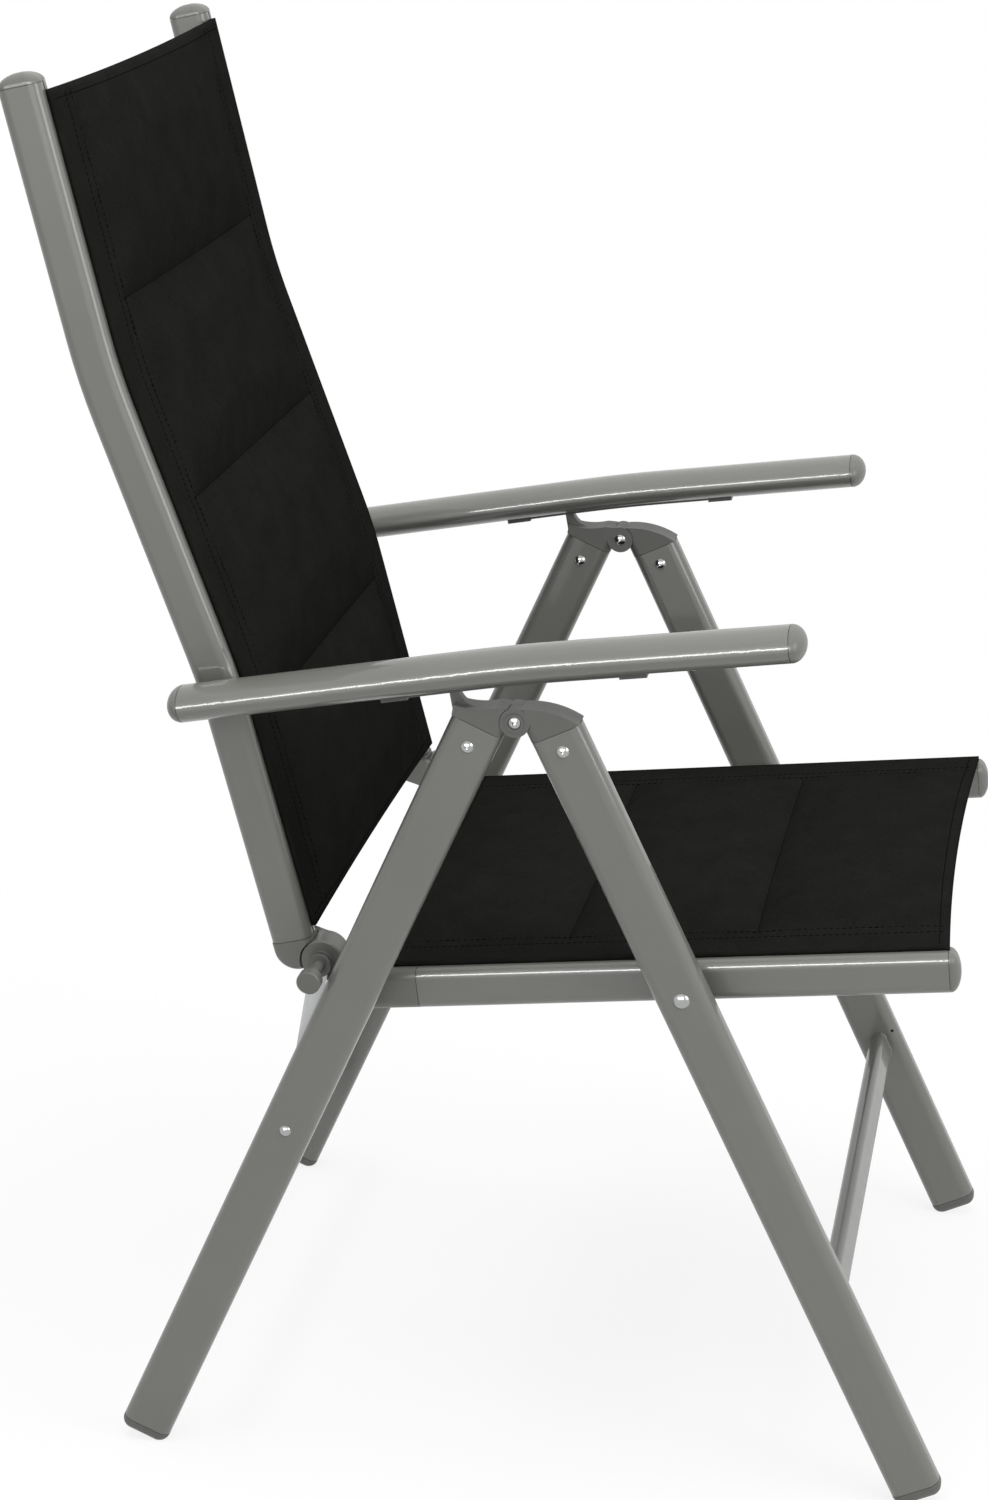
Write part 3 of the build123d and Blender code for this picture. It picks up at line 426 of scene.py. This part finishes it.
def pad_mesh(name, pad):
    """Closed quilted form: an upper and an under grid that meet along the edges.

    The second value holds the numbers of the points that are sewn down."""
    alongs = steps(pad.seams, CELL)
    acrosses = steps([-EDGE, -HEM, HEM, EDGE], CELL)
    form = bmesh.new()
    uv = form.loops.layers.uv.new("cloth")
    flat = {}
    grids = []
    for height in (pad.top, pad.under):
        grid = []
        for a in alongs:
            row = []
            for c in acrosses:
                vert = form.verts.new(pad.place(a, c, height(a, c)))
                flat[vert] = (c, a)
                row.append(vert)
            grid.append(row)
        grids.append(grid)
    top, low = grids
    rows, cols = len(alongs), len(acrosses)
    for i in range(rows - 1):
        for j in range(cols - 1):
            form.faces.new((top[i][j], top[i][j + 1], top[i + 1][j + 1], top[i + 1][j]))
            form.faces.new((low[i][j], low[i + 1][j], low[i + 1][j + 1], low[i][j + 1]))
    for j in range(cols - 1):
        form.faces.new((top[0][j], low[0][j], low[0][j + 1], top[0][j + 1]))
        form.faces.new((top[-1][j], top[-1][j + 1], low[-1][j + 1], low[-1][j]))
    for i in range(rows - 1):
        form.faces.new((top[i][0], top[i + 1][0], low[i + 1][0], low[i][0]))
        form.faces.new((top[i][-1], low[i][-1], low[i + 1][-1], top[i + 1][-1]))
    bmesh.ops.recalc_face_normals(form, faces=form.faces)
    for face in form.faces:
        face.smooth = True
        for loop in face.loops:
            loop[uv].uv = flat[loop.vert]
    for edge in form.edges:
        ends = [flat[vert][1] for vert in edge.verts]
        edge.smooth = not any(max(abs(end - s) for end in ends) < ON_SEAM for s in pad.seams[1:-1])
    form.verts.index_update()
    held = [vert.index for vert, (c, a) in flat.items() if pad.sewn(a, c)]
    mesh = bpy.data.meshes.new(name)
    form.to_mesh(mesh)
    form.free()
    return mesh, held


def puff(piece, held):
    """Blows up the filling between the seams. The cloth is cut slightly large, so it puckers."""
    piece.vertex_groups.new(name="sewn").add(held, 1.0, "REPLACE")
    cloth = piece.modifiers.new("cloth", "CLOTH")
    settings = cloth.settings
    settings.quality = 6
    settings.mass = 0.25
    settings.tension_stiffness = 25.0
    settings.compression_stiffness = 12.0
    settings.shear_stiffness = 8.0
    settings.bending_stiffness = 6.0
    settings.air_damping = 3.0
    settings.use_pressure = True
    settings.uniform_pressure_force = 4.0
    settings.vertex_group_mass = "sewn"
    settings.shrink_min = -0.003
    settings.effector_weights.gravity = 0.0
    cloth.collision_settings.use_collision = False
    cloth.point_cache.frame_start = 1
    cloth.point_cache.frame_end = PUFF_FRAMES
    scene = bpy.context.scene
    for step in range(1, PUFF_FRAMES + 1):
        scene.frame_set(step)
    blown = piece.evaluated_get(bpy.context.evaluated_depsgraph_get()).to_mesh()
    moved = [vert.co.copy() for vert in blown.vertices]
    piece.modifiers.remove(cloth)
    scene.frame_set(1)
    for vert, spot in zip(piece.data.vertices, moved):
        move = spot - vert.co
        vert.co += move * min(1.0, PUFF_MOST * MM / max(move.length, 1e-9))
    piece.vertex_groups.clear()


def stitch_row(form, pad, marks, height):
    """Row of short stitches through places along and across a sling, on one of its faces."""
    for (a0, c0), (a1, c1) in zip(marks, marks[1:]):
        span = math.hypot(a1 - a0, c1 - c0)
        count = int(span / STITCH_STEP)
        for i in range(count):
            ends = []
            for share in (-0.5, 0.5):
                t = (i + 0.5) / count + share * STITCH_LONG / span
                a, c = a0 + (a1 - a0) * t, c0 + (c1 - c0) * t
                ends.append(pad.place(a, c, height(a, c)))
            add_stitch(form, *ends)


def add_stitch(form, start, end):
    """One stitch: a short thread with rounded ends that dips into the cloth."""
    way = (end - start).normalized()
    side = way.orthogonal().normalized()
    other = way.cross(side)
    rings = []
    for t, size in ((0.0, 0.35), (0.25, 1.0), (0.75, 1.0), (1.0, 0.35)):
        centre = start.lerp(end, t)
        ring = []
        for k in range(STITCH_SIDES):
            angle = math.tau * k / STITCH_SIDES
            out = (side * math.cos(angle) + other * math.sin(angle)) * STITCH_R * size * MM
            ring.append(form.verts.new(centre + out))
        rings.append(ring)
    for a, b in zip(rings, rings[1:]):
        for k in range(STITCH_SIDES):
            n = (k + 1) % STITCH_SIDES
            form.faces.new((a[k], a[n], b[n], b[k])).smooth = True
    form.faces.new(rings[0][::-1])
    form.faces.new(rings[-1])


def sew(name, pad, body):
    """All the stitching of a sling, on both faces: side hems, end hems and the quilting seams."""
    form = bmesh.new()
    for height in (pad.top, pad.under):
        for sign in (-1, 1):
            for across in HEM_ROWS:
                alongs = steps([SEW_INSET, pad.length - SEW_INSET], SEW_RUN)
                stitch_row(form, pad, [(a, sign * across) for a in alongs], height)
        for along in (END_ROW, pad.length - END_ROW):
            acrosses = steps([SEW_INSET - EDGE, EDGE - SEW_INSET], SEW_RUN)
            stitch_row(form, pad, [(along, c) for c in acrosses], height)
        for along in pad.seams[1:-1]:
            stitch_row(form, pad, [(along, c) for c in steps([-HEM, HEM], SEW_RUN)], height)
    mesh = bpy.data.meshes.new(name)
    form.to_mesh(mesh)
    form.free()
    stitches = link(name, mesh, THREAD_WITH_CREASE_SHADE)
    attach(stitches, body)
    return stitches


def upholster(name, pad, body, cad_node):
    mesh, held = pad_mesh(name, pad)
    piece = link(name, mesh, CLOTH)
    puff(piece, held)
    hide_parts(cad_node)
    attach(piece, body)
    return piece, sew(name + "_stitches", pad, body)


upholster("back_pad", Pad(back_corners(), -1, BACK_PANELS, BACK_DRAW), "backrest", "back_sling")
seat_pad = Pad(seat_corners(), 1, SEAT_PANELS, SEAT_DRAW)
seat_softs = upholster("seat_pad", seat_pad, "seat", "seat_sling")
# Folded up, the back presses the filling of the seat flat
# The seat's cloth and its stitches each get a mesh of their own
for soft in seat_softs:
    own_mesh(soft)


# Welds


def oval_line(wide, thick, corner, step):
    """Points round a flat-sided oval, with the way out of it at each."""
    points = []
    for quarter, (sx, sy) in enumerate(((1, 1), (-1, 1), (-1, -1), (1, -1))):
        cx, cy = sx * (wide / 2 - corner), sy * (thick / 2 - corner)
        for i in range(9):
            angle = (quarter + i / 8) * math.pi / 2
            points.append((cx + corner * math.cos(angle), cy + corner * math.sin(angle)))
    ring = []
    for (x0, y0), (x1, y1) in zip(points, points[1:] + points[:1]):
        run = math.hypot(x1 - x0, y1 - y0)
        count = max(1, round(run / step))
        ring += [(x0 + (x1 - x0) * i / count, y0 + (y1 - y0) * i / count) for i in range(count)]
    return ring


def weld(name, bar, body, lean, size):
    """Bead of overlapping coins round both ends of a bar, where it meets the tubes."""
    low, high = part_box(bar)
    centre = (Vector(low) + Vector(high)) / 2
    along = Vector((math.cos(math.radians(lean)), 0, math.sin(math.radians(lean))))
    up = Vector((-along.z, 0, along.x))
    ring = oval_line(*size, WELD_STEP)
    form = bmesh.new()
    for y, way in ((low[1], 1), (high[1], -1)):
        inwards = Vector((0, way, 0))
        run = 0.0
        loops = []
        for i, (u, v) in enumerate(ring):
            run += math.hypot(u - ring[i - 1][0], v - ring[i - 1][1])
            coin = run / WELD_COIN % 1.0
            radius = WELD_R * (0.8 + 0.2 * math.sin(math.pi * coin) + 0.1 * math.sin(run * 0.31))
            out = (along * u * size[1] ** 2 + up * v * size[0] ** 2).normalized()
            spot = Vector((centre.x, y, centre.z)) + (along * u + up * v) * MM
            loop = []
            for k in range(WELD_SIDES):
                angle = math.tau * k / WELD_SIDES
                reach = (out * math.cos(angle) + inwards * math.sin(angle)) * radius * MM
                loop.append(form.verts.new(spot + reach))
            loops.append(loop)
        for a, b in zip(loops, loops[1:] + loops[:1]):
            for k in range(WELD_SIDES):
                n = (k + 1) % WELD_SIDES
                form.faces.new((a[k], a[n], b[n], b[k])).smooth = True
    bmesh.ops.recalc_face_normals(form, faces=form.faces)
    mesh = bpy.data.meshes.new(name)
    form.to_mesh(mesh)
    form.free()
    bead = link(name, mesh, COATED)
    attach(bead, body)


weld("front_weld", "front_crossbar", "front_frame", LEG_SPLAY - 90, CROSS_SIZE)
weld("rear_weld", "rear_crossbar", "rear_frame", -90 - LEG_SPLAY, CROSS_SIZE)
weld("seat_weld_front", "seat_bar_front", "seat", SEAT_SLOPE, BAR_SIZE)
weld("seat_weld_rear", "seat_bar_rear", "seat", SEAT_SLOPE, BAR_SIZE)
weld("back_weld_low", "back_bar_low", "backrest", 90 + BACK_LEAN, BAR_SIZE)
weld("back_weld_top", "back_bar_top", "backrest", 90 + BACK_TOP_LEAN, BAR_SIZE)


# Studio


def backdrop_white(tree, shown, lights):
    """One closure for the camera and for reflections, another for the light on the object."""
    path = node(tree, "ShaderNodeLightPath")
    seen = path.outputs["Is Camera Ray"]
    for ray in ("Is Glossy Ray", "Is Transmission Ray"):
        both = node(tree, "ShaderNodeMath", operation="MAXIMUM")
        tree.links.new(seen, both.inputs[0])
        tree.links.new(path.outputs[ray], both.inputs[1])
        seen = both.outputs["Value"]
    mix = node(tree, "ShaderNodeMixShader")
    tree.links.new(seen, mix.inputs["Fac"])
    tree.links.new(lights, mix.inputs[1])
    tree.links.new(shown, mix.inputs[2])
    return mix.outputs["Shader"]


world = bpy.data.worlds.new("studio")
bpy.context.scene.world = world
world.use_nodes = True
tree = world.node_tree
fill = tree.nodes["Background"]
fill.inputs["Color"].default_value = (1, 1, 1, 1)
fill.inputs["Strength"].default_value = FILL_LIGHT
white = node(tree, "ShaderNodeBackground", Strength=1.0)
white.inputs["Color"].default_value = (1, 1, 1, 1)
sky = backdrop_white(tree, white.outputs["Background"], fill.outputs["Background"])
tree.links.new(sky, tree.nodes["World Output"].inputs["Surface"])

floor_mesh = bpy.data.meshes.new("floor")
floor_form = bmesh.new()
bmesh.ops.create_grid(floor_form, x_segments=1, y_segments=1, size=FLOOR_HALF)
floor_form.to_mesh(floor_mesh)
floor_form.free()
floor_material, floor_tree, floor_shader = principled("floor", Roughness=0.9)
floor_shader.inputs["Base Color"].default_value = (*[FLOOR_WHITE] * 3, 1)
# Near the chair the floor still shows its shadow; further away it is plain white
paper = node(floor_tree, "ShaderNodeEmission", Strength=1.0)
paper.inputs["Color"].default_value = (1, 1, 1, 1)
reach = node(floor_tree, "ShaderNodeVectorMath", operation="LENGTH")
floor_tree.links.new(node(floor_tree, "ShaderNodeTexCoord").outputs["Object"], reach.inputs[0])
fade = node(floor_tree, "ShaderNodeMapRange", From_Min=SHADOW_NEAR, From_Max=SHADOW_FAR)
fade.inputs["To Min"].default_value = SHADOW_SHARE
fade.inputs["To Max"].default_value = 0.0
floor_tree.links.new(reach.outputs["Value"], fade.inputs["Value"])
shadowed = node(floor_tree, "ShaderNodeMixShader")
floor_tree.links.new(fade.outputs["Result"], shadowed.inputs["Fac"])
floor_tree.links.new(paper.outputs["Emission"], shadowed.inputs[1])
floor_tree.links.new(floor_shader.outputs["BSDF"], shadowed.inputs[2])
ground = backdrop_white(floor_tree, shadowed.outputs["Shader"], floor_shader.outputs["BSDF"])
floor_tree.links.new(ground, floor_tree.nodes["Material Output"].inputs["Surface"])
floor = link("floor", floor_mesh, floor_material)


def softbox(name, place, target, wide, tall, power, diffuse=True, glossy=True):
    lamp = bpy.data.lights.new(name, "AREA")
    lamp.shape = "RECTANGLE"
    lamp.size = wide
    lamp.size_y = tall
    lamp.energy = power
    lit = bpy.data.objects.new(name, lamp)
    lit.location = place
    lit.rotation_euler = (Vector(target) - Vector(place)).to_track_quat("-Z", "Y").to_euler()
    lit.visible_diffuse = diffuse
    lit.visible_glossy = glossy
    bpy.context.scene.collection.objects.link(lit)


# The photo has one narrow bright line along each armrest, so only the strip makes highlights there
softbox("overhead", (0.0, -0.3, 3.1), (0.0, 0.0, 0.6), 2.4, 2.4, 72.0, glossy=False)
softbox("strip", (-0.3, -2.15, 1.66), (-0.3, -0.25, 0.68), 2.2, 0.5, 75.0, diffuse=False)
softbox("front", (2.4, -1.0, 1.7), (0.0, 0.0, 0.6), 1.4, 1.4, 28.0)

# Camera, matched to the photo: level, with the picture cut from the lower right of its view
camera_data = bpy.data.cameras.new("camera")
camera_data.sensor_width = SENSOR
camera_data.lens = FOCAL / FRAME_HIGH * SENSOR
camera_data.shift_x = (FRAME_WIDE / 2 - CENTRE_X) / FRAME_HIGH
camera_data.shift_y = (CENTRE_Y - FRAME_HIGH / 2) / FRAME_HIGH
camera_data.clip_end = 100.0
camera = bpy.data.objects.new("camera", camera_data)
camera.location = (0.42685, -2.39425, 1.36486)
camera.rotation_euler = Vector((-0.1447, 0.9158, -0.3747)).to_track_quat("-Z", "Y").to_euler()
bpy.context.scene.collection.objects.link(camera)
bpy.context.scene.camera = camera
bpy.context.scene.view_settings.view_transform = "Standard"
